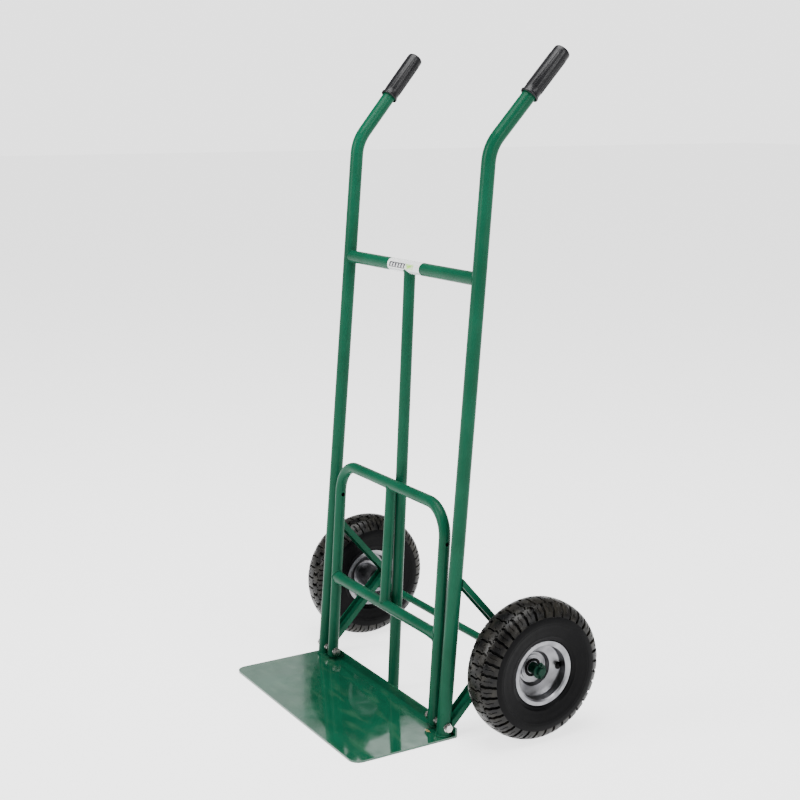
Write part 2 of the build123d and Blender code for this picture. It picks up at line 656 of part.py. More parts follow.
def make_inner_tube():
    """Air-filled tube inside the tyre."""
    return turned(tube_section(0) - tube_section(TUBE_SKIN))


def disc_joint():
    """Line along which the rim's two pressed halves lie against each other."""
    hub = HUB_DIAMETER / 2
    return [(-5.0, hub), (-5.0, hub + 5), (3.2, hub + 9), (7.8, BEAD_RADIUS - 7.5)]


def valve_axis(distance):
    """Point on the right wheel's valve axis, a distance outboard of its rim hole."""
    slope = radians(VALVE_SLOPE)
    along = VALVE_OFFSET + distance * cos(slope)
    radius = VALVE_RADIUS - distance * sin(slope)
    return Vector(WHEEL_X + along, AXLE_Y + radius, WHEEL_RADIUS)


def valve_hole():
    """Cylinder that cuts the valve's hole in the rim."""
    return rod(valve_axis(-14), valve_axis(9), VALVE_HOLE_DIAMETER)


def rim_corners(section):
    """Corners of a rim half that are rounded: all but those at the bead seat and the hub."""
    corners = []
    for vertex in section.vertices():
        at_seat = abs(vertex.Y - BEAD_RADIUS - 0.5) < 0.7
        at_hub = vertex.Y < HUB_DIAMETER / 2 + 1
        if not at_seat and not at_hub:
            corners.append(vertex)
    return corners


def make_rim_outer():
    """Outboard pressed half of the rim, dished in to the hub."""
    seat = LIP_FACE - RIM_SHEET
    dish = BEAD_RADIUS - RIM_SHEET
    hub = HUB_DIAMETER / 2
    loop = disc_joint()
    loop += [(10.6, BEAD_RADIUS - 1.6), (13, BEAD_RADIUS), (seat - 1, BEAD_RADIUS)]
    loop += [(seat, BEAD_RADIUS + 1), (seat, LIP_RADIUS), (LIP_FACE, LIP_RADIUS)]
    loop += [(LIP_FACE, BEAD_RADIUS + 1.5), (seat, dish), (14, dish), (12, BEAD_RADIUS - 3.3)]
    loop += [(9.9, BEAD_RADIUS - 7.5), (5.2, hub + 8.4), (-3, hub + 4.4), (-3, hub)]
    section = make_face(Polyline(*loop, close=True))
    return turned(fillet(rim_corners(section), RIM_EDGE_RADIUS)) - valve_hole()


def make_rim_inner():
    """Inboard pressed half of the rim."""
    seat = LIP_FACE - RIM_SHEET
    dish = BEAD_RADIUS - RIM_SHEET
    hub = HUB_DIAMETER / 2
    loop = disc_joint()
    loop += [(5.6, BEAD_RADIUS - 1.6), (3.0, BEAD_RADIUS), (1 - seat, BEAD_RADIUS)]
    loop += [(-seat, BEAD_RADIUS + 1), (-seat, LIP_RADIUS), (-LIP_FACE, LIP_RADIUS)]
    loop += [(-LIP_FACE, BEAD_RADIUS + 1.5), (-seat, dish), (2.2, dish), (3.7, BEAD_RADIUS - 3.1)]
    loop += [(5.6, BEAD_RADIUS - 7.3), (1.6, hub + 10.4), (-7, hub + 6.2), (-7, hub)]
    section = make_face(Polyline(*loop, close=True))
    return turned(fillet(rim_corners(section), RIM_EDGE_RADIUS)) - valve_hole()


def wheel_ring(along_start, along_end, outer, inner):
    """Ring on the right wheel between two positions along the axle."""
    return ring(WHEEL_X + along_start, WHEEL_X + along_end, outer, inner, AXLE_Y, WHEEL_RADIUS)


def make_hub_tube():
    """Tube welded through the rim, holding a bearing at each end."""
    return wheel_ring(HUB_INNER_END, HUB_OUTER_END, HUB_DIAMETER, BEARING_DIAMETER)


def make_bearing(along_start):
    """Bearing pressed into the hub tube and running on the axle."""
    bore = AXLE_DIAMETER + 2 * RUNNING_CLEARANCE
    return wheel_ring(along_start, along_start + BEARING_WIDTH, BEARING_DIAMETER, bore)


def make_valve_stem():
    """Rubber valve stem from the inner tube out through the rim."""
    stem = rod(valve_axis(-18), valve_axis(VALVE_LENGTH), VALVE_DIAMETER)
    return stem - turned(tube_section(0))


def make_valve_cap():
    """Dust cap on the end of the valve stem."""
    cap = rod(valve_axis(VALVE_LENGTH), valve_axis(VALVE_LENGTH + VALVE_CAP_LENGTH), VALVE_CAP_DIAMETER)
    tip = valve_axis(VALVE_LENGTH + VALVE_CAP_LENGTH)
    rim = cap.edges().filter_by(GeomType.CIRCLE).sort_by_distance(tip)[0]
    return chamfer(rim, 1.0)


def side_parts():
    """Every right-hand part that has a mirrored left-hand twin."""
    stack = pivot_stack()
    return {
        "upright": make_upright(),
        "grip": make_grip(),
        "upper_brace": make_upper_brace(),
        "lower_brace": make_lower_brace(),
        "inner_spacer": make_inner_spacer(),
        "outer_spacer": make_outer_spacer(),
        "axle_washer": make_axle_washer(),
        "cotter_pin": make_cotter_pin(),
        "pivot_bolt": make_pivot_bolt(),
        "pivot_lock_nut": make_nut(stack["lock_nut"]),
        "pivot_end_nut": make_nut(stack["end_nut"]),
        "pivot_washers": make_pivot_washers(),
        "tyre": make_tyre(),
        "inner_tube": make_inner_tube(),
        "rim_outer_half": make_rim_outer(),
        "rim_inner_half": make_rim_inner(),
        "hub_tube": make_hub_tube(),
        "outer_bearing": make_bearing(HUB_OUTER_END - BEARING_INSET - BEARING_WIDTH),
        "inner_bearing": make_bearing(HUB_INNER_END + BEARING_INSET),
        "valve_stem": make_valve_stem(),
        "valve_cap": make_valve_cap(),
    }


def main():
    """Build every part and write one STEP file for each."""
    parts = {
        "upper_crossbar": make_crossbar(),
        "crossbar_label": make_label(),
        "centre_tube": make_centre_tube(),
        "toe_plate": make_toe_plate(),
        "axle": make_axle(),
        "folding_hoop": make_hoop(),
        "folding_mid_rail": make_mid_rail(),
        "folding_centre_bar": make_centre_bar(),
    }
    for name, shape in side_parts().items():
        parts[f"right_{name}"] = shape
        parts[f"left_{name}"] = mirrored(shape)
    os.makedirs("parts", exist_ok=True)
    for name, shape in parts.items():
        export_step(shape, f"parts/{name}.step")


main()
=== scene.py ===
"""Looks of a hand truck with bent-back handles, a folding toe frame and two pneumatic wheels.

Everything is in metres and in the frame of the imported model: +Z up, the toe
plate reaches towards -Y and the right side is +X.
"""

import json
import logging
import math
import random
from collections.abc import Callable, Iterable, Iterator
from contextlib import contextmanager
from dataclasses import dataclass, field
from enum import Enum

import bmesh
import bpy
from mathutils import Matrix, Vector


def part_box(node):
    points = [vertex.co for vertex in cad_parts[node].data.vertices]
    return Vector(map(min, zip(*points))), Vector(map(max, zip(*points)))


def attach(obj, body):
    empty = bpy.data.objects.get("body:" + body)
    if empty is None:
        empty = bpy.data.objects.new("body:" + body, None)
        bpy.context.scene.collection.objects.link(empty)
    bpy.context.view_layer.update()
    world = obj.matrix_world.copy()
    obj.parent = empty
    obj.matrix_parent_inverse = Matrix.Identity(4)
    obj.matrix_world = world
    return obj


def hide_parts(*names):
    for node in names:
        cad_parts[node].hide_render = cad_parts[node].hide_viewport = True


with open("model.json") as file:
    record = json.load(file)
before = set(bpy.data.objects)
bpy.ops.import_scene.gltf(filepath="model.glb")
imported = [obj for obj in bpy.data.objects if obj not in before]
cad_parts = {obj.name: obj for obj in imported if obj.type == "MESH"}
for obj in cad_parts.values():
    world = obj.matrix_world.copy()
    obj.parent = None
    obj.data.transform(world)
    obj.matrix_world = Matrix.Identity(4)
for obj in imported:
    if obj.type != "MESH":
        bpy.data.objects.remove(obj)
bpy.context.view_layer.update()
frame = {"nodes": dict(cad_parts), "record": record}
LOG = logging.getLogger("hand_truck")
MM = 0.001
Colour = tuple[float, float, float]
Triple = tuple[float, float, float]
Span = tuple[float, float]
Socket = bpy.types.NodeSocket
Material = bpy.types.Material
# Parts of a noise's range that are spread over a whole finish.
NARROW: Span = (0.35, 0.65)
WIDE: Span = (0.3, 0.7)
RANGE_SOCKETS = ("From Min", "From Max", "To Min", "To Max")


class Side(Enum):
    """Which side of the truck a piece is on."""

    RIGHT = 1
    LEFT = -1

    @property
    def prefix(self) -> str:
        """Start of the names of this side's nodes and bodies."""
        return self.name.lower()


class Body(Enum):
    """The bodies that pieces ride on."""

    FRAME = "frame"
    FOLDING_TOE = "folding_toe"
    RIGHT_WHEEL = "right_wheel"
    LEFT_WHEEL = "left_wheel"

    @classmethod
    def wheel(cls, side: Side) -> "Body":
        """The wheel's body on one side."""
        return cls.RIGHT_WHEEL if side is Side.RIGHT else cls.LEFT_WHEEL


# ---------------------------------------------------------------- modelling helpers


def deselect_all() -> None:
    """Leave nothing selected in object mode."""
    for item in bpy.context.selected_objects:
        item.select_set(False)


def make_active(piece: bpy.types.Object) -> None:
    """Select one object alone and make it the active one.

    Args:
        piece: the object.
    """
    deselect_all()
    piece.select_set(True)
    bpy.context.view_layer.objects.active = piece


@contextmanager
def editing(piece: bpy.types.Object) -> Iterator[None]:
    """Edit mode on a mesh object, with nothing selected at the start.

    Args:
        piece: the mesh object.
    """
    make_active(piece)
    bpy.ops.object.mode_set(mode="EDIT")
    bpy.ops.mesh.select_mode(type="VERT")
    bpy.ops.mesh.select_all(action="DESELECT")
    try:
        yield
    finally:
        bpy.ops.object.mode_set(mode="OBJECT")


def select_faces(piece: bpy.types.Object, test: Callable[[bmesh.types.BMFace], bool]) -> int:
    """Select the faces that pass a test, and only those. The object is in edit mode.

    Args:
        piece: the object in edit mode.
        test: says whether a face is wanted.

    Returns:
        The number of faces selected.
    """
    bpy.ops.mesh.select_all(action="DESELECT")
    bpy.ops.mesh.select_mode(type="FACE")
    mesh = bmesh.from_edit_mesh(piece.data)
    wanted = [face for face in mesh.faces if test(face)]
    for face in wanted:
        face.select_set(True)
    bmesh.update_edit_mesh(piece.data)
    return len(wanted)


def ring_of_points(points: list[Vector], radius: float, centre: Vector) -> bpy.types.Object:
    """Add a circle and put its vertices on the points of a closed line.

    Args:
        points: the line's points, in order.
        radius: the circle's first radius.
        centre: the circle's first middle.

    Returns:
        The closed line.
    """
    deselect_all()
    bpy.ops.mesh.primitive_circle_add(vertices=len(points), radius=radius, location=centre)
    line = bpy.context.active_object
    bpy.ops.object.transform_apply(location=True, rotation=True, scale=True)
    for vertex, point in zip(line.data.vertices, points):
        vertex.co = point
    return line


def close_up(threshold: float) -> None:
    """Merge the doubles of the mesh in edit mode and turn its faces outwards."""
    bpy.ops.mesh.select_all(action="SELECT")
    bpy.ops.mesh.remove_doubles(threshold=threshold)
    bpy.ops.mesh.normals_make_consistent(inside=False)


def round_edges(piece: bpy.types.Object, width: float, segments: int, angle: float) -> None:
    """Round the sharp edges of a piece.

    Args:
        piece: the piece.
        width: the rounding's width.
        segments: the steps in the rounding.
        angle: the smallest sharp angle, in degrees.
    """
    make_active(piece)
    bevel = piece.modifiers.new("Bevel", "BEVEL")
    bevel.width, bevel.segments = width, segments
    bevel.limit_method, bevel.angle_limit = "ANGLE", math.radians(angle)
    bpy.ops.object.modifier_apply(modifier=bevel.name)


def smooth(piece: bpy.types.Object, angle: float = 35.0) -> None:
    """Shade a piece smooth except at its sharp edges.

    Args:
        piece: the object.
        angle: the smallest sharp angle, in degrees.
    """
    make_active(piece)
    bpy.ops.object.shade_smooth_by_angle(angle=math.radians(angle))


def turned_copy(piece: bpy.types.Object, name: str, turn: Matrix) -> bpy.types.Object:
    """Copy a piece with its own mesh, and move the copy's mesh.

    Args:
        piece: the piece to copy.
        name: the copy's name.
        turn: where the copy goes, as a matrix.

    Returns:
        The copy.
    """
    make_active(piece)
    bpy.ops.object.duplicate(linked=False)
    copy = bpy.context.active_object
    copy.name = name
    copy.data.transform(turn)
    return copy


def finish_piece(
    piece: bpy.types.Object, name: str, body: Body, slot: str, *coats: Material
) -> None:
    """Name a piece, give it its materials and body.

    Args:
        piece: the piece.
        name: its name.
        body: the body that it rides on.
        slot: the record's material slot; not used.
        coats: its materials, in slot order.
    """
    piece.name = name
    piece.data.name = name
    for number, coat in enumerate(coats):
        if number < len(piece.data.materials):
            piece.data.materials[number] = coat
        else:
            piece.data.materials.append(coat)
    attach(piece, body.value)
    LOG.info("%s: %d faces on %s", name, len(piece.data.polygons), body.value)


# ---------------------------------------------------------------- materials


class Brew:
    """One material's node tree while it is made."""

    def __init__(self, name: str) -> None:
        """Start a material with its shader.

        Args:
            name: the material's name.
        """
        self.material = bpy.data.materials.new(name)
        self.material.use_nodes = True
        tree = self.material.node_tree
        self.nodes = tree.nodes
        self.links = tree.links
        self.shader = tree.nodes["Principled BSDF"]
        self.coords = self.nodes.new("ShaderNodeTexCoord").outputs["Object"]

    def set(self, **values: object) -> "Brew":
        """Set constants on the shader's own sockets.

        Args:
            values: each socket's value, with _ for a space in its name.

        Returns:
            This brew.
        """
        for key, value in values.items():
            self.shader.inputs[key.replace("_", " ")].default_value = value
        return self

    def placed(self, centre: Iterable[float] = (0, 0, 0), scale: Iterable[float] = (1, 1, 1)) -> Socket:
        """Object coordinates, measured from a centre and scaled.

        Args:
            centre: the point that becomes zero.
            scale: the stretch along each axis.

        Returns:
            The coordinates.
        """
        node = self.nodes.new("ShaderNodeMapping")
        node.inputs["Scale"].default_value = tuple(scale)
        node.inputs["Location"].default_value = tuple(-c * s for c, s in zip(centre, scale))
        self.links.new(self.coords, node.inputs["Vector"])
        return node.outputs["Vector"]

    def noise(self, scale: float, detail: float = 3.0, vector: Socket | None = None) -> Socket:
        """Noise over the piece.

        Args:
            scale: how fine it is.
            detail: how many finer layers it has.
            vector: its coordinates; the piece's own when left out.

        Returns:
            The noise, from 0 to 1.
        """
        node = self.nodes.new("ShaderNodeTexNoise")
        node.inputs["Scale"].default_value = scale
        node.inputs["Detail"].default_value = detail
        self.links.new(vector or self.coords, node.inputs["Vector"])
        return node.outputs["Fac"]

    def remap(self, value: Socket, start: float, end: float, low: float, high: float) -> Socket:
        """Map a value from start..end to low..high, held at both ends.

        Args:
            value: the value.
            start: what becomes low.
            end: what becomes high.
            low: the result at the start.
            high: the result at the end.

        Returns:
            The mapped value.
        """
        node = self.nodes.new("ShaderNodeMapRange")
        self.links.new(value, node.inputs["Value"])
        for key, number in zip(RANGE_SOCKETS, (start, end, low, high)):
            node.inputs[key].default_value = number
        return node.outputs["Result"]

    def sum(self, operation: str, first: Socket, second: Socket | float = 0.0) -> Socket:
        """One arithmetic step on one or two values.

        Args:
            operation: the Math node's operation.
            first: the first value.
            second: the second value or a constant.

        Returns:
            The result.
        """
        node = self.nodes.new("ShaderNodeMath")
        node.operation = operation
        self.links.new(first, node.inputs[0])
        if isinstance(second, (int, float)):
            node.inputs[1].default_value = second
        else:
            self.links.new(second, node.inputs[1])
        return node.outputs[0]

    def mix(self, share: Socket, first: Colour | Socket, second: Colour | Socket) -> Socket:
        """Mix two colours by a share.

        Args:
            share: the second colour's share.
            first: the colour where the share is 0.
            second: the colour where it is 1.

        Returns:
            The mixed colour.
        """
        node = self.nodes.new("ShaderNodeMix")
        node.data_type = "RGBA"
        self.links.new(share, node.inputs[0])
        for socket, colour in ((node.inputs[6], first), (node.inputs[7], second)):
            if isinstance(colour, tuple):
                socket.default_value = (*colour, 1)
            else:
                self.links.new(colour, socket)
        return node.outputs[2]

    def axis(self, name: str) -> Socket:
        """The piece's own X, Y or Z.

        Args:
            name: the axis.

        Returns:
            The coordinate.
        """
        node = self.nodes.new("ShaderNodeSeparateXYZ")
        self.links.new(self.coords, node.inputs[0])
        return node.outputs[name]

    def distance(self, centre: Iterable[float], scale: Iterable[float] = (1, 1, 1)) -> Socket:
        """Distance from a point, stretched by a scale.

        Args:
            centre: the point.
            scale: the stretch along each axis.

        Returns:
            The distance.
        """
        node = self.nodes.new("ShaderNodeVectorMath")
        node.operation = "LENGTH"
        self.links.new(self.placed(centre, scale), node.inputs[0])
        return node.outputs["Value"]

    def bump(self, height: Socket, depth: float, strength: float = 1.0) -> None:
        """Add relief on top of any relief that is there.

        Args:
            height: the relief's pattern.
            depth: its depth in metres.
            strength: how strongly it shows.
        """
        node = self.nodes.new("ShaderNodeBump")
        node.inputs["Distance"].default_value = depth
        node.inputs["Strength"].default_value = strength
        self.links.new(height, node.inputs["Height"])
        normal = self.shader.inputs["Normal"]
        if normal.is_linked:
            self.links.new(normal.links[0].from_socket, node.inputs["Normal"])
        self.links.new(node.outputs["Normal"], normal)

    def feed(self, name: str, value: Socket) -> None:
        """Link a value to one of the shader's sockets."""
        self.links.new(value, self.shader.inputs[name])


@dataclass(frozen=True)
class Enamel:
    """Green enamel with slight orange peel, patches, streaks and, where they are given, a scuff and painted
    shade on the outer ends.
    """

    name: str = "green_enamel"
    lit: Colour = (0.0040, 0.060, 0.031)
    deep: Colour = (0.0028, 0.046, 0.023)
    smudge: Colour = (0.030, 0.100, 0.060)
    smudging: float = 0.08
    polish: Span = (0.26, 0.36)
    specular: float = 0.07
    coat: float = 0.0
    patch_scale: float = 9.0
    streak_scale: Triple = (14.0, 55.0, 30.0)
    peel_depth: float = 0.00001
    wave_depth: float = 0.0002
    # Painted shade: past this distance from the middle along X the paint turns to the dark colour below,
    # standing in for the shade deep inside the wheels' rim dishes.
    dark_beyond: float | None = None
    dark: Colour = (0.0028, 0.022, 0.013)
    scuff_at: Triple | None = None
    scuff_size: Span = (0.004, 0.022)
    bare_steel: Colour = (0.30, 0.20, 0.10)

    def material(self) -> Material:
        """Make the material.

        Returns:
            The material.
        """
        brew = Brew(self.name).set(Specular_IOR_Level=self.specular)
        brew.set(Coat_Weight=self.coat, Coat_Roughness=0.05)
        patches = brew.remap(brew.noise(self.patch_scale), *NARROW, 0, 1)
        paint = brew.mix(patches, self.deep, self.lit)
        streaks = brew.noise(1, 6, brew.placed(scale=self.streak_scale))
        film = brew.remap(streaks, 0.52, 0.80, 0, self.smudging)
        paint = brew.mix(film, paint, self.smudge)
        if self.scuff_at:
            near = brew.remap(brew.distance(self.scuff_at, (1, 2.2, 1)), *self.scuff_size, 0.5, 0)
            bare = brew.sum("GREATER_THAN", brew.sum("ADD", near, brew.noise(420, 4)), 0.97)
            paint = brew.mix(bare, paint, self.bare_steel)
        # Painted shade: the ends past the set |X| get the dark colour, standing in for the shade inside the
        # rim dishes.
        if self.dark_beyond:
            painted_shade_mask = brew.sum("GREATER_THAN", brew.sum("ABSOLUTE", brew.axis("X")), self.dark_beyond)
            paint = brew.mix(painted_shade_mask, paint, self.dark)
        brew.feed("Base Color", paint)
        brew.feed("Roughness", brew.remap(brew.noise(38, 5), *WIDE, *self.polish))
        brew.bump(brew.noise(260, 1), self.peel_depth)
        brew.bump(brew.noise(30, 2), self.wave_depth, 0.25)
        return brew.material


@dataclass(frozen=True)
class Rubber:
    """Black rubber with a fine moulded skin and dust."""

    name: str
    black: Colour = (0.0018, 0.0018, 0.0021)
    dust: Colour = (0.008, 0.008, 0.008)
    specular: float = 0.05
    dusting: float = 0.5
    roughness: Span = (0.42, 0.62)
    grain_scale: float = 900.0
    grain_depth: float = 0.00008

    def material(self) -> Material:
        """Make the material.

        Returns:
            The material.
        """
        brew = Brew(self.name).set(Specular_IOR_Level=self.specular)
        patches = brew.remap(brew.noise(46, 6), 0.38, 0.72, 0, self.dusting)
        specks = brew.remap(brew.noise(700, 2), 0.60, 0.75, 0, self.dusting * 0.5)
        dust = brew.sum("MAXIMUM", patches, specks)
        brew.feed("Base Color", brew.mix(dust, self.black, self.dust))
        brew.feed("Roughness", brew.remap(brew.noise(70, 4), *WIDE, *self.roughness))
        brew.bump(brew.noise(self.grain_scale, 2), self.grain_depth)
        return brew.material


@dataclass(frozen=True)
class Metal:
    """Bare or plated metal with faint clouding."""

    name: str
    bright: Colour = (0.36, 0.36, 0.37)
    dull: Colour = (0.22, 0.22, 0.23)
    roughness: Span = (0.18, 0.34)
    clouding: float = 60.0
    grain_scale: float = 900.0
    grain_depth: float = 0.00003

    def material(self) -> Material:
        """Make the material.

        Returns:
            The material.
        """
        brew = Brew(self.name).set(Metallic=1.0)
        cloud = brew.remap(brew.noise(self.clouding, 4), *NARROW, 0, 1)
        brew.feed("Base Color", brew.mix(cloud, self.dull, self.bright))
        spread = brew.noise(self.clouding * 2.5, 5)
        brew.feed("Roughness", brew.remap(spread, *WIDE, *self.roughness))
        brew.bump(brew.noise(self.grain_scale, 2), self.grain_depth)
        return brew.material


@dataclass(frozen=True)
class LabelFilm:
    """White film with a striped dark block, a leaf-green block and a grey band, and no lettering.

    Spans are in metres: along the crossbar for blocks, and up from the bar's axis for rows.
    """

    name: str = "label_film"
    white: Colour = (0.62, 0.63, 0.62)
    grey: Colour = (0.42, 0.43, 0.44)
    dark: Colour = (0.035, 0.035, 0.042)
    leaf: Colour = (0.26, 0.55, 0.04)
    stripe: Colour = (0.62, 0.62, 0.62)
    height: float = 0.823
    lean: float = 0.35
    block_row: Span = (-0.0030, 0.0068)
    stripe_row: Span = (-0.0012, 0.0050)
    grey_row: Span = (-0.0085, -0.0052)
    dark_block: Span = (-0.056, 0.000)
    leaf_block: Span = (0.003, 0.029)
    stripe_scale: float = 620.0

    def band(self, brew: Brew, value: Socket, span: Span) -> Socket:
        """One where a value is between two limits, else zero.

        Args:
            brew: the material in the making.
            value: the value.
            span: the two limits.

        Returns:
            One or zero.
        """
        above = brew.sum("GREATER_THAN", value, span[0])
        return brew.sum("MULTIPLY", above, brew.sum("LESS_THAN", value, span[1]))

    def material(self) -> Material:
        """Make the material.

        Returns:
            The material.
        """
        brew = Brew(self.name).set(Coat_Weight=0.3, Coat_Roughness=0.15)
        along, up = brew.axis("X"), brew.sum("SUBTRACT", brew.axis("Z"), self.height)
        slant = brew.sum("SUBTRACT", along, brew.sum("MULTIPLY", up, self.lean))
        row = self.band(brew, up, self.block_row)
        dark = brew.sum("MULTIPLY", row, self.band(brew, slant, self.dark_block))
        leaf = brew.sum("MULTIPLY", row, self.band(brew, slant, self.leaf_block))
        wave = brew.sum("SINE", brew.sum("MULTIPLY", slant, self.stripe_scale))
        stripes = brew.sum("GREATER_THAN", wave, 0.15)
        stripes = brew.sum("MULTIPLY", stripes, self.band(brew, up, self.stripe_row))
        colour = brew.mix(self.band(brew, up, self.grey_row), self.white, self.grey)
        colour = brew.mix(dark, colour, self.dark)
        colour = brew.mix(brew.sum("MULTIPLY", dark, stripes), colour, self.stripe)
        leaf_noise = brew.remap(brew.noise(160, 3), 0.40, 0.60, 0.35, 1.0)
        colour = brew.mix(brew.sum("MULTIPLY", leaf, leaf_noise), colour, self.leaf)
        brew.feed("Base Color", colour)
        brew.feed("Roughness", brew.remap(brew.noise(90, 3), *WIDE, 0.25, 0.42))
        brew.bump(brew.noise(120, 3), 0.0001, 0.5)
        return brew.material


def made(recipe: Enamel | Rubber | Metal | LabelFilm) -> Material:
    """Dataclass field whose material is made together with the others."""
    return field(default_factory=recipe.material)


@dataclass
class Finishes:
    """Every finish of the truck, made once."""

    enamel: Material = made(Enamel())
    # Enamel with painted shade: the axle's ends, washers, spacers and cotter pins inside the rim dishes are
    # painted dark.
    axle_enamel: Material = made(Enamel("axle_enamel", dark_beyond=0.285, smudging=0.04))
    plate_enamel: Material = made(Enamel(
        "plate_enamel", smudge=(0.055, 0.120, 0.070), smudging=0.45, polish=(0.05, 0.14),
        specular=0.5, coat=0.4, scuff_at=(0.200, -0.055, 0.004),
    ))
    side_wall: Material = made(Rubber("tyre_side_wall", dusting=0.10, roughness=(0.30, 0.46)))
    tread: Material = made(Rubber(
        "tyre_tread", dust=(0.021, 0.019, 0.015), dusting=0.8, specular=0.16, roughness=(0.26, 0.46)
    ))
    grip: Material = made(Rubber(
        "grip_rubber", black=(0.008, 0.008, 0.009), dusting=0.05, specular=0.16,
        roughness=(0.26, 0.34), grain_depth=0.00001,
    ))
    butyl: Material = made(Rubber("butyl_rubber", dusting=0.15))
    cap: Material = made(Rubber("cap_plastic", dusting=0.05, roughness=(0.3, 0.4)))
    rim: Material = made(Metal(
        "rim_zinc", bright=(0.24, 0.24, 0.25), dull=(0.15, 0.15, 0.16),
        roughness=(0.28, 0.44), clouding=45.0,
    ))
    fastener: Material = made(Metal(
        "zinc_plate", bright=(0.50, 0.49, 0.47), dull=(0.34, 0.33, 0.31), clouding=220.0
    ))
    bearing: Material = made(Metal(
        "bearing_steel", bright=(0.30, 0.30, 0.31), dull=(0.18, 0.18, 0.19), roughness=(0.22, 0.36)
    ))
    label: Material = made(LabelFilm())

    def for_slot(self, slot: str) -> Material:
        """The material of one of the record's slots.

        Args:
            slot: the slot's name.

        Returns:
            The material.
        """
        return {
            "green_paint": self.enamel,
            "grip_rubber": self.grip,
            "label_film": self.label,
            "tyre_rubber": self.side_wall,
            "tube_rubber": self.butyl,
            "zinc_rim": self.rim,
            "zinc_fastener": self.fastener,
            "bearing_steel": self.bearing,
            "valve_rubber": self.butyl,
            "cap_plastic": self.cap,
        }[slot]


# ---------------------------------------------------------------- tyres


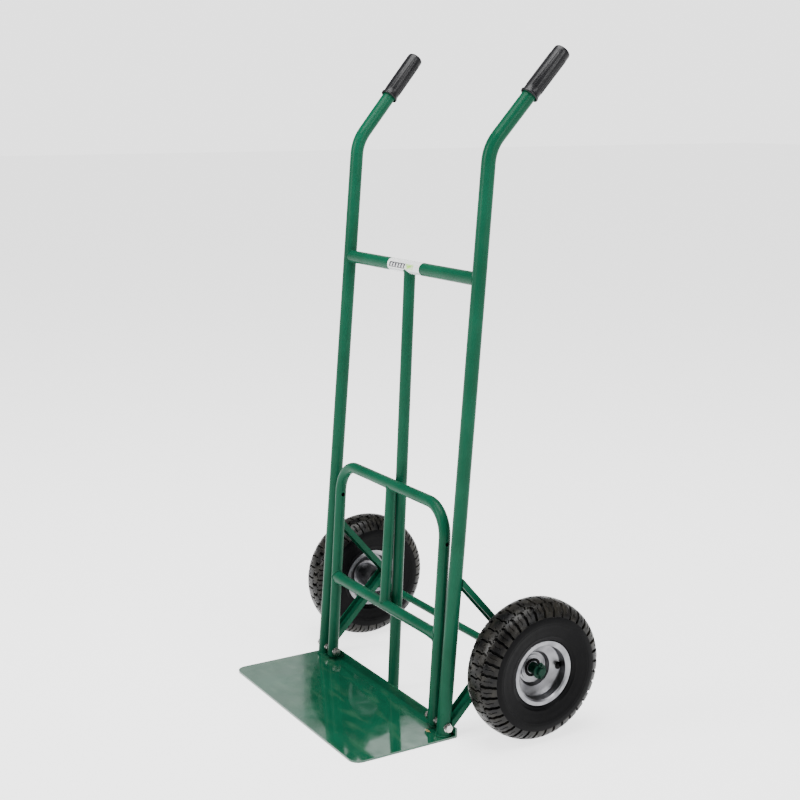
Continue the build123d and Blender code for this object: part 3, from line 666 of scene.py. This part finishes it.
@dataclass
class Tyre:
    """Pneumatic tyre with zigzag tread blocks, moulded side walls and a hollow inside."""

    finishes: Finishes
    middle_radius: float = 92.0 * MM
    half_height: float = 38.0 * MM
    half_width: float = 40.0 * MM
    squareness: float = 2.4
    pitch_count: int = 36
    groove_depth: float = 4.6 * MM
    sipe_depth: float = 1.6 * MM
    sipe_margin: float = 0.85 * MM
    zigzag: float = 1.5 * MM
    strips: tuple[float, ...] = (1.3, 1.85, 1.1, 1.5, 1.1, 1.85, 1.3)
    tread_x: tuple[float, ...] = (2.5, 7, 9, 14, 19, 21, 24, 28.5, 33, 36, 38.6)
    tread_turn: tuple[float, ...] = (0.5, 0.9, 0.9, -0.4, 0.7, 0.9, 0.3, 1.1, 0.6, 1.3, 1.7)
    wall: tuple[Triple, ...] = (
        (39.4, 101.0, 1.2), (39.8, 97.0, 0.6), (39.9, 93.2, 0.2), (39.5, 92.4, 0), (39.8, 91.6, 0),
        (39.3, 90.4, 0), (38.4, 83.0, 0), (37.0, 75.5, 0), (35.6, 69.8, 0), (35.6, 68.6, 0),
        (34.6, 67.6, 0), (33.6, 63.6, 0), (32.6, 61.2, 0), (30.0, 60.7, 0), (29.8, 53.0, 0),
        (28.8, 51.7, 0), (20.3, 51.7, 0), (20.3, 63.6, 0), (28.5, 72.8, 0), (33.3, 90.0, 0),
        (28.5, 107.2, 0), (20.0, 116.6, 0), (10.0, 121.8, 0),
    )
    inside_top: float = 123.3 * MM
    groove_rows: tuple[Span, ...] = ((7, 9), (19, 21))
    groove_slack: float = 0.2
    middle_rib: float = 7
    block_middle: float = 20
    sipe_span: Span = (24, 36)
    tread_edge: float = 38.6 * MM
    tread_floor: float = 104 * MM
    row_floor: float = 115 * MM
    skin: float = 2 * MM

    def crown(self, across: float) -> float:
        """Radius of the tread at a distance from the middle, both in metres."""
        share = min((abs(across) / self.half_width) ** self.squareness, 1.0)
        return self.middle_radius + self.half_height * (1 - share) ** (1 / self.squareness)

    def section(self) -> list[tuple[float, float, float]]:
        """Closed section of the tyre.

        Returns:
            Points as (across, radius, turn in degrees), from the right half to the left.
        """
        right = [(x * MM, self.crown(x * MM), turn) for x, turn in zip(self.tread_x, self.tread_turn)]
        right += [(x * MM, radius * MM, turn) for x, radius, turn in self.wall]
        inside = (0.0, self.inside_top, 0.0)
        left = [(-x, radius, turn) for x, radius, turn in reversed(right)]
        return right + [inside] + left

    def turn_at(self, across: float) -> float:
        """Turn of the tread's lines at a distance from the middle.

        Args:
            across: the distance in metres.

        Returns:
            The turn in degrees.
        """
        reach = abs(across) / MM
        stations = list(zip(self.tread_x, self.tread_turn))
        if reach <= stations[0][0]:
            return stations[0][1]
        for (x0, t0), (x1, t1) in zip(stations, stations[1:]):
            if reach <= x1:
                return t0 + (t1 - t0) * (reach - x0) / (x1 - x0)
        return stations[-1][1]

    def strip_of(self, point: Vector, middle: Vector) -> int:
        """Number of the strip of a pitch that a point lies in.

        Args:
            point: a face's middle.
            middle: the wheel's centre.

        Returns:
            The strip's number, from 0.
        """
        pitch = 360 / self.pitch_count
        angle = math.degrees(math.atan2(point.z - middle.z, point.y - middle.y))
        angle = (angle - self.turn_at(point.x - middle.x)) % pitch
        total = 0.0
        for index, width in enumerate(self.strips):
            total += width
            if angle < total:
                return index
        return len(self.strips) - 1

    def carcass(self, middle: Vector) -> bpy.types.Object:
        """Turn the section about the axle, one pitch first and then all round.

        Args:
            middle: the wheel's centre.

        Returns:
            The smooth tyre.
        """
        points = []
        for across, radius, turn in self.section():
            angle = math.radians(turn)
            points.append(middle + Vector((across, radius * math.cos(angle), radius * math.sin(angle))))
        tyre = ring_of_points(points, self.half_width, middle)
        with editing(tyre):
            bpy.ops.mesh.select_all(action="SELECT")
            for width in self.strips:
                bpy.ops.mesh.spin(steps=1, angle=math.radians(width), center=middle, axis=(1, 0, 0))
            bpy.ops.mesh.select_all(action="SELECT")
            last = self.pitch_count - 1
            turn = math.tau * last / self.pitch_count
            bpy.ops.mesh.spin(steps=last, dupli=True, angle=turn, center=middle, axis=(1, 0, 0))
            close_up(0.02 * MM)
        return tyre

    def shift_block_edges(self, tyre: bpy.types.Object, middle: Vector) -> None:
        """Zigzag the edges of the grooves that run round the tyre.

        Args:
            tyre: the smooth tyre.
            middle: the wheel's centre.
        """
        edges = [x * MM for row in self.groove_rows for x in row]
        pitch = 360 / self.pitch_count
        for vertex in tyre.data.vertices:
            offset = vertex.co - middle
            reach = abs(offset.x)
            radius = math.hypot(offset.y, offset.z)
            if radius < self.row_floor or min(abs(reach - edge) for edge in edges) > self.groove_slack * MM:
                continue
            angle = math.degrees(math.atan2(offset.z, offset.y)) - self.turn_at(offset.x)
            place = angle % pitch
            shift = self.zigzag if 0.25 * pitch < place < 0.75 * pitch else -self.zigzag
            new_reach = reach + shift
            ratio = self.crown(new_reach) / radius
            moved = (math.copysign(new_reach, offset.x), offset.y * ratio, offset.z * ratio)
            vertex.co = middle + Vector(moved)

    def cut_tread(self, tyre: bpy.types.Object, middle: Vector) -> None:
        """Push the grooves and sipes into the tread.

        Args:
            tyre: the smooth tyre.
            middle: the wheel's centre.
        """
        half = len(self.strips) // 2
        ends = (0, len(self.strips) - 1)

        def on_tread(face: bmesh.types.BMFace) -> bool:
            """Whether a face is on the outside of the tread."""
            centre = face.calc_center_median() - middle
            radius = math.hypot(centre.y, centre.z)
            outside = radius > self.tread_floor and radius > self.crown(centre.x) - self.skin
            return outside and abs(centre.x) < self.tread_edge

        def in_groove(face: bmesh.types.BMFace) -> bool:
            """Whether a face is in a groove round the tyre or between two blocks."""
            if not on_tread(face):
                return False
            centre = face.calc_center_median()
            reach = abs(centre.x - middle.x) / MM
            slack = self.groove_slack
            if any(low - slack < reach < high + slack for low, high in self.groove_rows):
                return True
            strip = self.strip_of(centre, middle)
            if reach < self.middle_rib:
                return strip == half
            outward = centre.x > middle.x
            return strip in ends if outward == (reach > self.block_middle) else strip == half

        def in_sipe(face: bmesh.types.BMFace) -> bool:
            """Whether a face is in the slot across a shoulder block."""
            if not on_tread(face):
                return False
            centre = face.calc_center_median()
            low, high = self.sipe_span
            if not low < abs(centre.x - middle.x) / MM < high:
                return False
            strip = self.strip_of(centre, middle)
            return strip == half if centre.x > middle.x else strip in ends

        with editing(tyre):
            select_faces(tyre, on_tread)
            tyre.data.materials.append(self.finishes.side_wall)
            tyre.data.materials.append(self.finishes.tread)
            tyre.active_material_index = 1
            bpy.ops.object.material_slot_assign()
            grooves = select_faces(tyre, in_groove)
            tyre.active_material_index = 0
            bpy.ops.object.material_slot_assign()
            bpy.ops.mesh.extrude_region_shrink_fatten(
                TRANSFORM_OT_shrink_fatten={"value": -self.groove_depth, "use_even_offset": True}
            )
            sipes = select_faces(tyre, in_sipe)
            bpy.ops.mesh.inset(thickness=self.sipe_margin, use_even_offset=True)
            tyre.active_material_index = 0
            bpy.ops.object.material_slot_assign()
            bpy.ops.mesh.extrude_region_shrink_fatten(
                TRANSFORM_OT_shrink_fatten={"value": -self.sipe_depth}
            )
        LOG.info("tread: %d groove faces, %d sipe faces", grooves, sipes)

    def build(self) -> None:
        """Build both tyres."""
        low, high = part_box("right_tyre")
        middle = (low + high) / 2
        tyre = self.carcass(middle)
        self.shift_block_edges(tyre, middle)
        self.cut_tread(tyre, middle)
        round_edges(tyre, 0.3 * MM, 1, 40)
        smooth(tyre, 40)
        left_low, left_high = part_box("left_tyre")
        left_middle = (left_low + left_high) / 2
        half_turn = Matrix.Rotation(math.pi, 4, "Z")
        turn = Matrix.Translation(left_middle) @ half_turn @ Matrix.Translation(-middle)
        other = turned_copy(tyre, "left_tyre_rubber", turn)
        for side, piece in ((Side.RIGHT, tyre), (Side.LEFT, other)):
            coats = (self.finishes.side_wall, self.finishes.tread)
            finish_piece(piece, f"{side.prefix}_tyre_rubber", Body.wheel(side), "tyre_rubber", *coats)
            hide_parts(f"{side.prefix}_tyre")


# ---------------------------------------------------------------- bearing faces


@dataclass
class BearingFaces:
    """Dark seals and polished races on the outward faces of the wheel bearings."""

    finishes: Finishes
    sides: int = 48
    seal_height: float = 0.25 * MM
    race_height: float = 0.4 * MM
    seal: Span = (11.6 * MM, 17.2 * MM)
    inner_race: Span = (8.2 * MM, 11.2 * MM)
    outer_race: Span = (17.6 * MM, 20.6 * MM)

    def ring(self, centre: Vector, outward: float, radii: Span, height: float) -> bpy.types.Object:
        """Make one flat ring with a rounded outer face.

        Args:
            centre: the middle of the bearing's face.
            outward: 1 or -1, the way the face looks along X.
            radii: the ring's inner and outer radius.
            height: how far it stands out of the face.

        Returns:
            The ring.
        """
        inner, outer = radii
        edge = min(height * 0.6, (outer - inner) / 4)
        section = [
            (0.0, inner), (height - edge, inner), (height, inner + edge),
            (height, outer - edge), (height - edge, outer), (0.0, outer),
        ]
        points = [centre + Vector((outward * along, 0, radius)) for along, radius in section]
        ring = ring_of_points(points, outer, centre)
        with editing(ring):
            bpy.ops.mesh.select_all(action="SELECT")
            bpy.ops.mesh.spin(steps=self.sides, angle=math.tau, center=centre, axis=(1, 0, 0))
            close_up(0.01 * MM)
        smooth(ring, 40)
        return ring

    def build(self) -> None:
        """Build the rings on all four bearings."""
        for side in Side:
            for node, end in (("outer_bearing", 1), ("inner_bearing", -1)):
                low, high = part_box(f"{side.prefix}_{node}")
                outward = end * side.value
                face = high.x if outward > 0 else low.x
                centre = Vector((face, (low.y + high.y) / 2, (low.z + high.z) / 2))
                for word, radii, height, coat, slot in (
                    ("seal", self.seal, self.seal_height, self.finishes.butyl, "valve_rubber"),
                    ("inner_race", self.inner_race, self.race_height, self.finishes.rim, "bearing_steel"),
                    ("outer_race", self.outer_race, self.race_height, self.finishes.rim, "bearing_steel"),
                ):
                    ring = self.ring(centre, outward, radii, height)
                    finish_piece(ring, f"{side.prefix}_{node}_{word}", Body.wheel(side), slot, coat)


# ---------------------------------------------------------------- grips


@dataclass
class Grip:
    """Rubber grip with lengthwise ribs between plain bands, a collar and a rounded end."""

    finishes: Finishes
    bend_height: float = 1.0455
    foot_y: float = -0.039
    lean: float = 4.7
    angle: float = 41.0
    splay: float = 3.3
    reach: float = 0.216
    length: float = 0.1025
    radius: float = 0.0154
    tube_radius: float = 0.0127
    collar_radius: float = 0.0172
    columns: int = 48
    rib_height: float = 0.0006
    rib_from: float = 0.0110
    rib_end_gap: float = 0.0120
    rib_step: float = 7.5
    rib_sector: Span = (30, 150)

    def direction(self) -> Vector:
        """Direction of the right handle."""
        splay, angle = math.radians(self.splay), math.radians(self.angle)
        level = math.cos(splay)
        return Vector((math.sin(splay), math.sin(angle) * level, math.cos(angle) * level))

    def stations(self) -> list[Span]:
        """Rings of the grip's outside.

        Returns:
            Each ring as (distance from the lower end, radius).
        """
        collar = self.collar_radius
        end = self.length
        ribs = end - self.rib_end_gap - self.rib_from
        return [
            (0.0002, collar - 0.0012), (0.0010, collar - 0.0002), (0.0022, collar),
            (0.0040, collar - 0.0002), (0.0052, self.radius + 0.0003), (0.0062, self.radius),
            (self.rib_from + 0.05 * ribs, self.radius), (self.rib_from + 0.95 * ribs, self.radius),
            (end - 0.0090, self.radius), (end - 0.0050, self.radius - 0.0001),
            (end - 0.0026, self.radius - 0.0010), (end - 0.0010, self.radius - 0.0030),
            (end - 0.0002, self.radius - 0.0060),
        ]

    def build(self) -> None:
        """Build both grips."""
        direction = self.direction()
        corner_y = self.foot_y + self.bend_height * math.tan(math.radians(self.lean))
        low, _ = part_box("right_upright")
        corner = Vector((low.x + self.tube_radius, corner_y, self.bend_height))
        start = corner + direction * (self.reach - self.length)
        turn = direction.to_track_quat("Z", "Y")
        stations = self.stations()
        deselect_all()
        bpy.ops.mesh.primitive_circle_add(
            vertices=self.columns, radius=stations[0][1], fill_type="NOTHING",
            location=start + direction * stations[0][0], rotation=turn.to_euler(),
        )
        grip = bpy.context.active_object
        bpy.ops.object.transform_apply(location=True, rotation=True, scale=True)
        with editing(grip):
            bpy.ops.mesh.select_all(action="SELECT")
            for (here, radius), (there, next_radius) in zip(stations, stations[1:]):
                bpy.ops.mesh.extrude_region_move(
                    TRANSFORM_OT_translate={"value": direction * (there - here)}
                )
                scale = next_radius / radius
                centre = start + direction * there
                bpy.ops.transform.resize(value=(scale, scale, scale), center_override=centre)
            bpy.ops.mesh.edge_face_add()
            bpy.ops.mesh.select_all(action="SELECT")
            bpy.ops.mesh.normals_make_consistent(inside=False)
            across = turn @ Vector((1, 0, 0))
            up = turn @ Vector((0, 1, 0))
            ribbed = self.length - self.rib_end_gap - self.rib_from

            def on_rib(face: bmesh.types.BMFace) -> bool:
                """Whether a face is the top of a rib."""
                offset = face.calc_center_median() - start
                if not 0.2 < (offset.dot(direction) - self.rib_from) / ribbed < 0.8:
                    return False
                angle = math.degrees(math.atan2(offset.dot(across), offset.dot(up))) % 180
                low, high = self.rib_sector
                return low < angle < high and int(angle / self.rib_step) % 2 == 0

            ribs = select_faces(grip, on_rib)
            bpy.ops.mesh.extrude_region_shrink_fatten(TRANSFORM_OT_shrink_fatten={"value": self.rib_height})
        LOG.info("grip: %d rib faces", ribs)
        round_edges(grip, 0.25 * MM, 2, 50)
        smooth(grip, 45)
        flip = Matrix.Scale(-1, 4, (1, 0, 0))
        other = turned_copy(grip, "left_grip_rubber", flip)
        with editing(other):
            bpy.ops.mesh.select_all(action="SELECT")
            bpy.ops.mesh.flip_normals()
        for side, piece in ((Side.RIGHT, grip), (Side.LEFT, other)):
            finish_piece(piece, f"{side.prefix}_grip_rubber", Body.FRAME, "grip_rubber", self.finishes.grip)
            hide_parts(f"{side.prefix}_grip")


# ---------------------------------------------------------------- weld beads


@dataclass(frozen=True)
class Tube:
    """A tube's line and radius; an oval one has a second radius across Z."""

    origin: Vector
    along: Vector
    radius: float
    tall: float | None = None
    least_side: float = 0.3

    def rim(self, angle: float) -> Vector:
        """Point on the tube's surface, level with its origin.

        Args:
            angle: how far round the tube it is, in radians.

        Returns:
            The point.
        """
        axis = self.along.normalized()
        side = axis.cross(Vector((0, 0, 1)))
        if side.length < self.least_side:
            side = axis.cross(Vector((1, 0, 0)))
        side.normalize()
        up = side.cross(axis)
        tall = self.tall or self.radius
        return self.origin + side * (self.radius * math.cos(angle)) + up * (tall * math.sin(angle))

    def meets_tube(self, main: "Tube", count: int = 44) -> list[Vector]:
        """Line where this tube's surface first meets another tube's.

        Args:
            main: the other tube.
            count: the number of points.

        Returns:
            The line's points.
        """
        axis, other = self.along.normalized(), main.along.normalized()
        slope = axis - other * axis.dot(other)
        points = []
        for index in range(count):
            start = self.rim(math.tau * index / count)
            gap = start - main.origin
            gap -= other * gap.dot(other)
            half = gap.dot(slope) / slope.length_squared
            rest = half * half - (gap.length_squared - main.radius ** 2) / slope.length_squared
            points.append(start + axis * (-half - math.sqrt(max(rest, 0.0))))
        return points

    def meets_level(self, height: float, count: int = 44) -> list[Vector]:
        """Line where this tube's surface meets a level plane.

        Args:
            height: the plane's height.
            count: the number of points.

        Returns:
            The line's points.
        """
        axis = self.along.normalized()
        rims = [self.rim(math.tau * index / count) for index in range(count)]
        return [rim + axis * ((height - rim.z) / axis.z) for rim in rims]


@dataclass
class WeldBead:
    """A lumpy painted weld along a closed line."""

    name: str
    body: Body
    points: list[Vector]
    radius: float
    wave: float = 0.16
    lumps: float = 0.18

    def build(self, coat: Material) -> bpy.types.Object:
        """Build the bead.

        Args:
            coat: the paint on it.

        Returns:
            The bead.
        """
        make_active(ring_of_points(self.points, self.radius, Vector()))
        bpy.ops.object.convert(target="CURVE")
        curve = bpy.context.active_object.data
        curve.bevel_depth = self.radius
        curve.bevel_resolution = 2
        dice = random.Random(self.name)
        for spline in curve.splines:
            for index, point in enumerate(spline.points):
                swell = self.wave * math.sin(index * 2.1)
                point.radius = 1.0 + swell + dice.uniform(-self.lumps, self.lumps)
        bpy.ops.object.convert(target="MESH")
        bead = bpy.context.active_object
        with editing(bead):
            close_up(0.02 * MM)
        smooth(bead, 60)
        finish_piece(bead, self.name, self.body, "green_paint", coat)
        return bead


@dataclass
class Welds:
    """Every weld bead of the truck."""

    finishes: Finishes
    half_spacing: float = 0.2285
    foot_y: float = -0.039
    lean: float = 4.7
    upright_radius: float = 0.0127
    centre_radius: float = 0.011
    centre_lean: float = 2.59
    hoop_x: float = 0.1935
    hoop_radius: float = 0.01075
    bar_radius: float = 0.010
    hoop_tilt: float = 3.68
    rail_along: float = 0.1566
    top_along: float = 0.3935
    rail_flare: float = 0.015
    plate_top: float = 0.004
    foot_lift: float = 0.6 * MM
    run_up: float = 0.03
    foot_bead: float = 2.2 * MM
    bar_foot_bead: float = 1.5 * MM
    side_bead: float = 1.3 * MM
    top_bead: float = 1.2 * MM

    def upright(self, x: float, height: float) -> Tube:
        """An upright, with its origin at a height.

        Args:
            x: where it stands.
            height: the height.

        Returns:
            The upright's tube.
        """
        slope = math.tan(math.radians(self.lean))
        origin = Vector((x, self.foot_y + height * slope, height))
        return Tube(origin, Vector((0, slope, 1)), self.upright_radius)

    def build(self) -> None:
        """Build every bead."""
        coat = self.finishes.enamel
        low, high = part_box("upper_crossbar")
        bar_y, bar_z = (low.y + high.y) / 2, (low.z + high.z) / 2
        bar_radius = (high.z - low.z) / 2
        crossbar = Tube(Vector((0, bar_y, bar_z)), Vector((1, 0, 0)), bar_radius)
        for side in Side:
            x = side.value * self.half_spacing
            outward = Vector((side.value, 0, 0))
            branch = Tube(Vector((x - side.value * self.run_up, bar_y, bar_z)), outward, bar_radius)
            line = branch.meets_tube(self.upright(x, bar_z))
            WeldBead(f"{side.prefix}_crossbar_weld", Body.FRAME, line, self.side_bead).build(coat)
            line = self.upright(x, 0.0).meets_level(self.plate_top + self.foot_lift)
            WeldBead(f"{side.prefix}_foot_weld", Body.FRAME, line, self.foot_bead).build(coat)
        low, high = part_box("right_pivot_bolt")
        pivot = Vector((0, (low.y + high.y) / 2, (low.z + high.z) / 2))
        tilt = math.radians(self.hoop_tilt)
        up = Vector((0, math.sin(tilt), math.cos(tilt)))
        rail_at = pivot + up * self.rail_along
        top_at = pivot + up * self.top_along
        for side in Side:
            outward = Vector((side.value, 0, 0))
            leg = Tube(pivot + Vector((side.value * self.hoop_x, 0, 0)), up, self.hoop_radius)
            start = rail_at + Vector((side.value * (self.hoop_x - self.run_up), 0, 0))
            line = Tube(start, outward, self.hoop_radius, self.rail_flare).meets_tube(leg)
            WeldBead(f"{side.prefix}_rail_weld", Body.FOLDING_TOE, line, self.side_bead).build(coat)
        rail = Tube(rail_at, Vector((1, 0, 0)), self.hoop_radius)
        top = Tube(top_at, Vector((1, 0, 0)), self.hoop_radius)
        line = Tube(rail_at + up * self.run_up, -up, self.bar_radius).meets_tube(rail)
        WeldBead("centre_bar_foot_weld", Body.FOLDING_TOE, line, self.bar_foot_bead).build(coat)
        line = Tube(top_at - up * self.run_up, up, self.bar_radius).meets_tube(top)
        WeldBead("centre_bar_top_weld", Body.FOLDING_TOE, line, self.top_bead).build(coat)
        slope = Vector((0, math.tan(math.radians(self.centre_lean)), 1))
        start = Vector((0, bar_y, bar_z)) - slope * self.run_up
        line = Tube(start, slope, self.centre_radius).meets_tube(crossbar)
        WeldBead("centre_tube_top_weld", Body.FRAME, line, self.top_bead).build(coat)


# ---------------------------------------------------------------- carried-over nodes


@dataclass
class CarriedNodes:
    """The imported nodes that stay, each with a better finish."""

    finishes: Finishes

    def dress(self) -> None:
        """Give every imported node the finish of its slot."""
        slots = {row["node"]: row["material_slot"] for row in frame["record"]["subparts"]}
        for name, node in frame["nodes"].items():
            coat = self.finishes.for_slot(slots[name])
            if name == "toe_plate":
                coat = self.finishes.plate_enamel
            # These parts sit inside the rim dishes and take the enamel with painted shade on its outer
            # ends.
            if name == "axle" or name.endswith(("axle_washer", "cotter_pin", "outer_spacer")):
                coat = self.finishes.axle_enamel
            node.data.materials.clear()
            node.data.materials.append(coat)
            LOG.info("%s: dressed in %s", name, coat.name)


# ---------------------------------------------------------------- studio


@dataclass(frozen=True)
class Softbox:
    """A soft rectangular light, which shines on the truck unless it is given a way to face."""

    name: str
    place: Triple
    power: float
    size: Span
    facing: Triple | None = None
    aim: Triple = (0, 0, 0.5)

    def hang(self) -> None:
        """Hang the light."""
        place = Vector(self.place)
        facing = Vector(self.facing) if self.facing else Vector(self.aim) - place
        data = bpy.data.lights.new(self.name, "AREA")
        data.shape = "RECTANGLE"
        data.size, data.size_y = self.size
        data.energy = self.power
        light = bpy.data.objects.new(self.name, data)
        light.location = place
        light.rotation_euler = facing.to_track_quat("-Z", "Y").to_euler()
        bpy.context.scene.collection.objects.link(light)


@dataclass
class Studio:
    """Camera, floor, surroundings and soft lights."""

    eye: Triple = (2.2445, -1.3307, 1.1156)
    yaw: float = 59.2
    pitch: float = 11.7
    lens: float = 64.08
    floor_size: float = 60
    floor_glow: float = 2.2
    behind: Triple = (-0.859, 0.512, 0.0)
    behind_span: Span = (0.35, 0.80)
    sky_strength: Span = (0.45, 2.45)
    sky_ends: Span = (1.0, 0.20)
    sky_stops: tuple[Span, ...] = ((0.12, 1.0), (0.24, 0.10), (0.70, 0.06))
    softboxes: tuple[Softbox, ...] = (
        Softbox("left_softbox", (-0.6, -3.4, 2.2), 150, (1.2, 2.4)),
        Softbox("right_softbox", (3.6, 0.9, 2.4), 95, (1.2, 2.4)),
        Softbox("top_softbox", (0.4, -0.2, 3.8), 300, (2.6, 2.6)),
        Softbox("far_left_panel", (-9.0, 3.46, 4.75), 11, (1.73, 2.1), (1, 0, 0)),
        Softbox("far_middle_panel", (-9.0, 4.48, 5.25), 1.2, (0.30, 1.1), (1, 0, 0)),
        Softbox("far_right_panel", (-9.0, 5.60, 5.35), 10, (1.86, 0.91), (1, 0, 0)),
    )

    def camera(self) -> None:
        """Place the camera."""
        yaw, pitch = math.radians(self.yaw), math.radians(self.pitch)
        level = math.cos(pitch)
        forward = Vector((-math.sin(yaw) * level, math.cos(yaw) * level, -math.sin(pitch)))
        data = bpy.data.cameras.new("camera")
        data.sensor_width = 36
        data.lens = self.lens
        camera = bpy.data.objects.new("camera", data)
        camera.location = self.eye
        camera.rotation_euler = forward.to_track_quat("-Z", "Y").to_euler()
        bpy.context.scene.collection.objects.link(camera)
        bpy.context.scene.camera = camera

    def floor(self) -> None:
        """Lay a plain pale floor."""
        deselect_all()
        bpy.ops.mesh.primitive_plane_add(size=self.floor_size, location=(0, 0, 0))
        floor = bpy.context.active_object
        floor.name = "floor"
        brew = Brew("pale_floor").set(
            Roughness=0.9, Specular_IOR_Level=0.0,
            Emission_Color=(1.0, 1.0, 1.0, 1.0), Emission_Strength=self.floor_glow,
        )
        tint = brew.remap(brew.noise(3, 2), 0, 1, 0, 1)
        brew.feed("Base Color", brew.mix(tint, (0.50, 0.50, 0.50), (0.52, 0.52, 0.52)))
        floor.data.materials.append(brew.material)

    def surroundings(self) -> None:
        """Pale horizon, greyer above it, and brightest behind the truck."""
        world = bpy.data.worlds.new("surroundings")
        world.use_nodes = True
        nodes, links = world.node_tree.nodes, world.node_tree.links
        background = nodes["Background"]
        direction = nodes.new("ShaderNodeTexCoord").outputs["Generated"]
        split = nodes.new("ShaderNodeSeparateXYZ")
        ramp = nodes.new("ShaderNodeValToRGB")
        links.new(direction, split.inputs[0])
        links.new(split.outputs["Z"], ramp.inputs["Fac"])
        near = nodes.new("ShaderNodeVectorMath")
        near.operation = "DOT_PRODUCT"
        near.inputs[1].default_value = self.behind
        links.new(direction, near.inputs[0])
        strength = nodes.new("ShaderNodeMapRange")
        links.new(near.outputs["Value"], strength.inputs["Value"])
        for key, number in zip(RANGE_SOCKETS, (*self.behind_span, *self.sky_strength)):
            strength.inputs[key].default_value = number
        links.new(strength.outputs["Result"], background.inputs["Strength"])
        stops = ramp.color_ramp.elements
        for stop, place, level in zip(stops, (0.0, 1.0), self.sky_ends):
            stop.position, stop.color = place, (level, level, level, 1)
        for place, level in self.sky_stops:
            stops.new(place).color = (level, level, level, 1)
        links.new(ramp.outputs["Color"], background.inputs["Color"])
        bpy.context.scene.world = world

    def build(self) -> None:
        """Set up the whole studio."""
        self.camera()
        self.floor()
        self.surroundings()
        for softbox in self.softboxes:
            softbox.hang()


def main() -> None:
    """Build the truck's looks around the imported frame."""
    logging.basicConfig(level=logging.INFO, format="%(name)s %(message)s")
    Studio().build()
    finishes = Finishes()
    CarriedNodes(finishes).dress()
    Tyre(finishes).build()
    BearingFaces(finishes).build()
    Grip(finishes).build()
    Welds(finishes).build()
    deselect_all()
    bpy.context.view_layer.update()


if __name__ == "__main__":
    main()
